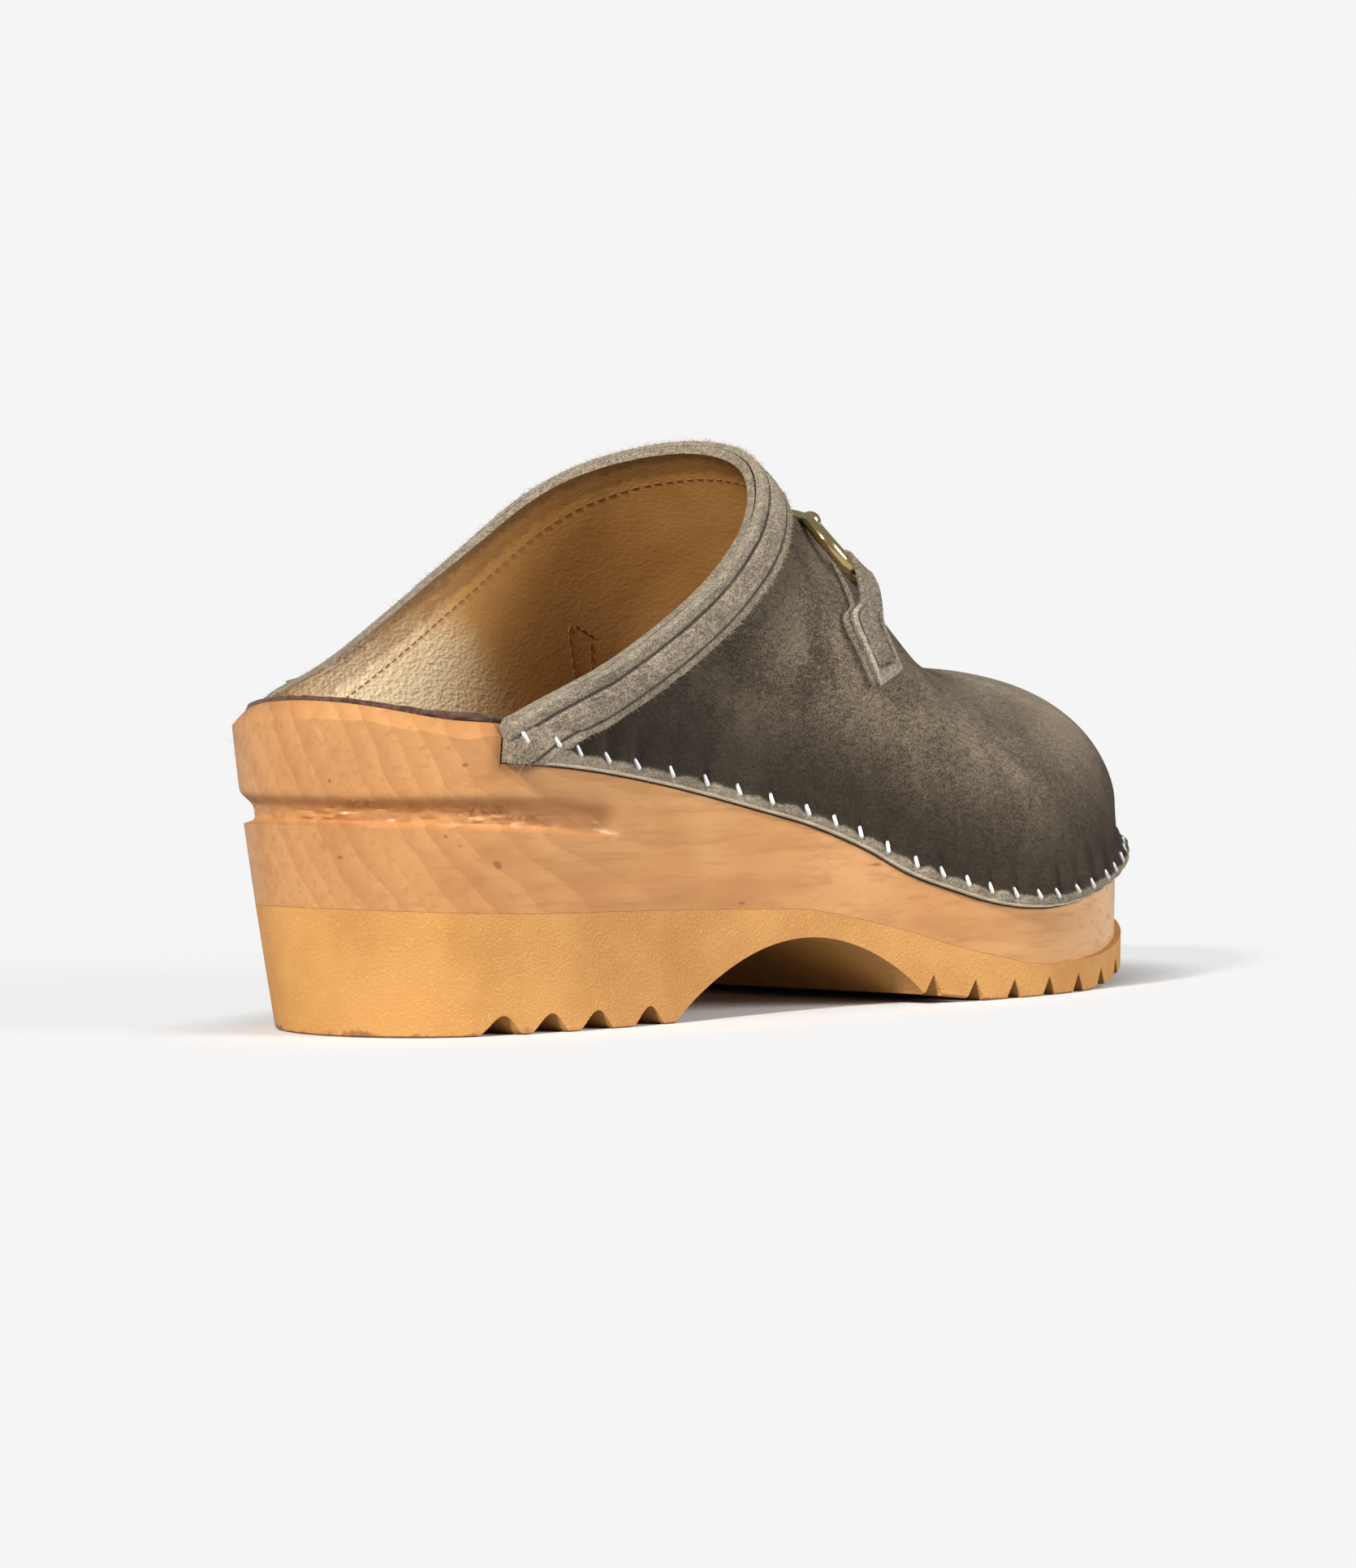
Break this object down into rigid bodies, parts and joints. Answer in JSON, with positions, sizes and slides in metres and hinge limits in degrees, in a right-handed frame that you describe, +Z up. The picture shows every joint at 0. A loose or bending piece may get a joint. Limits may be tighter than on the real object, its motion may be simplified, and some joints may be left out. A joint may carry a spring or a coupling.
{
  "type": "swedish clog",
  "caption": "Right-foot slip-on clog: hollow suede upper with bound collar and metal bit, stapled to a carved wooden sole on a notched rubber tread.",
  "frame": {"origin": "on the floor, on the heel's tread, under the middle of the heel", "axes": "+X towards the toe, +Y towards the inner (medial) side of this right foot, +Z up"},
  "size_m": [0.2641, 0.0983, 0.1187],
  "materials": {
    "rubber": "satin amber rubber with a fine pebble",
    "wood": "satin lacquered alder",
    "insole_leather": "matt brown sock leather",
    "suede": "napped taupe suede, smooth lining",
    "binding_suede": "napped suede with cut edges",
    "tab_suede": "napped suede with cut edges",
    "gold_metal": "polished pale gold plate"
  },
  "bodies": {
    "root": {"outsole": "rubber", "wood_sole": "wood", "insole": "insole_leather", "upper": "suede", "collar_band": "binding_suede", "bit": "gold_metal", "tab_lateral": "tab_suede", "tab_medial": "tab_suede"}
  },
  "joints": []
}
